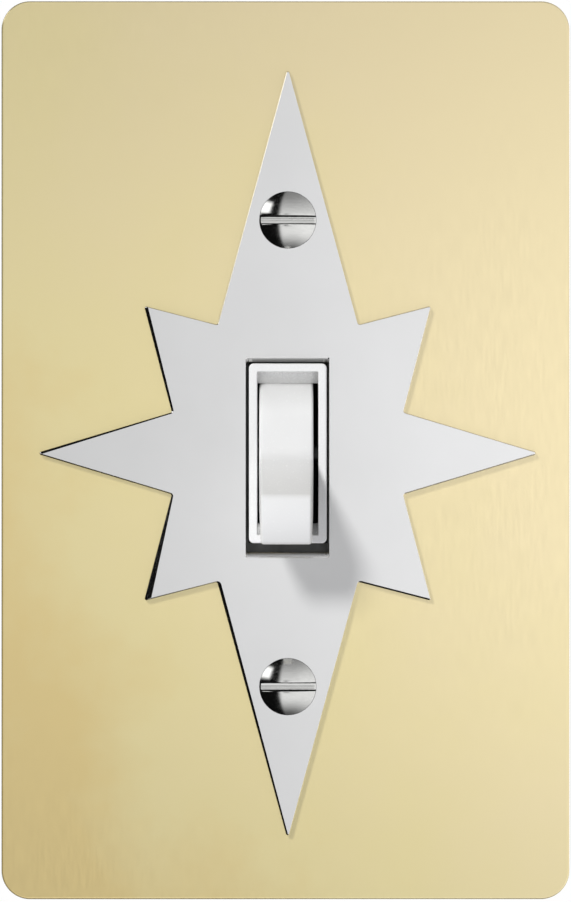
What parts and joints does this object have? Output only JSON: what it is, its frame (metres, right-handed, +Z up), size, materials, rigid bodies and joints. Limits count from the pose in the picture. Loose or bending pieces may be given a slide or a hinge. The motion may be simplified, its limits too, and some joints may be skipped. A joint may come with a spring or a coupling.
{
  "type": "toggle light switch",
  "caption": "Wall light switch with a brass plate, a nickel star overlay, a white dolly that rocks up and down, and a closed housing behind for the wall box.",
  "frame": {"origin": "on the wall surface, midway between the two plate screws, which is the middle of the star", "axes": "+X right and +Z up as seen from the room, +Y into the wall; the dolly points to -Y and is stored down, off"},
  "size_m": [0.0735, 0.0436, 0.1162],
  "materials": {
    "polished_brass": "polished",
    "polished_nickel": "polished",
    "nickel_screws": "polished",
    "zinc_steel": "zinc plated",
    "green_steel": "green dyed plating",
    "fibre": "pressed fibre",
    "plated_rivets": "nickel plated",
    "white_moulding": "moulded gloss",
    "black_moulding": "moulded satin",
    "white_dolly": "moulded gloss",
    "terminal_brass": "rolled",
    "spring_steel": "drawn wire",
    "contact_copper": "rolled copper alloy",
    "contact_silver": "silver",
    "black_rubber": "matt",
    "terminal_screws": "machined"
  },
  "bodies": {
    "housing": {"brass_plate": "polished_brass", "star_overlay": "polished_nickel", "plate_screws": "nickel_screws", "mounting_strap": "zinc_steel", "ground_screw": "green_steel", "box_screws": "zinc_steel", "screw_retainers": "fibre", "body_rivets": "plated_rivets", "front_moulding": "white_moulding", "back_body": "black_moulding", "rocker_pin": "spring_steel", "common_terminal": "terminal_brass", "load_terminal": "terminal_brass", "fixed_contact": "contact_silver", "bumper_pad": "black_rubber", "terminal_screws": "terminal_screws"},
    "dolly": {"dolly": "white_dolly", "plunger_spring": "spring_steel"},
    "plunger": {"plunger": "terminal_brass"},
    "rocker": {"rocker_contact": "contact_copper", "moving_contact": "contact_silver"}
  },
  "joints": [
    {"name": "dolly_tilt", "type": "hinge", "parent": "housing", "child": "dolly", "pos_m": [0, 0.0025, 0], "axis": [-1, 0, 0], "range_deg": [0, 44.8]},
    {"name": "plunger_slide", "type": "slide", "parent": "dolly", "child": "plunger", "axis": [0, -0.9245, -0.3811], "range_m": [0, 0.0008], "stiffness_N_per_m": 400, "springref_m": -0.002, "deforming": ["plunger_spring"]},
    {"name": "rocker_tilt", "type": "hinge", "parent": "housing", "child": "rocker", "pos_m": [0, 0.0185, 0], "axis": [-1, 0, 0], "range_deg": [-18, 0]}
  ],
  "couplings": [
    {"joint": "rocker_tilt", "follows": "dolly_tilt", "ratio": -0.40179}
  ]
}
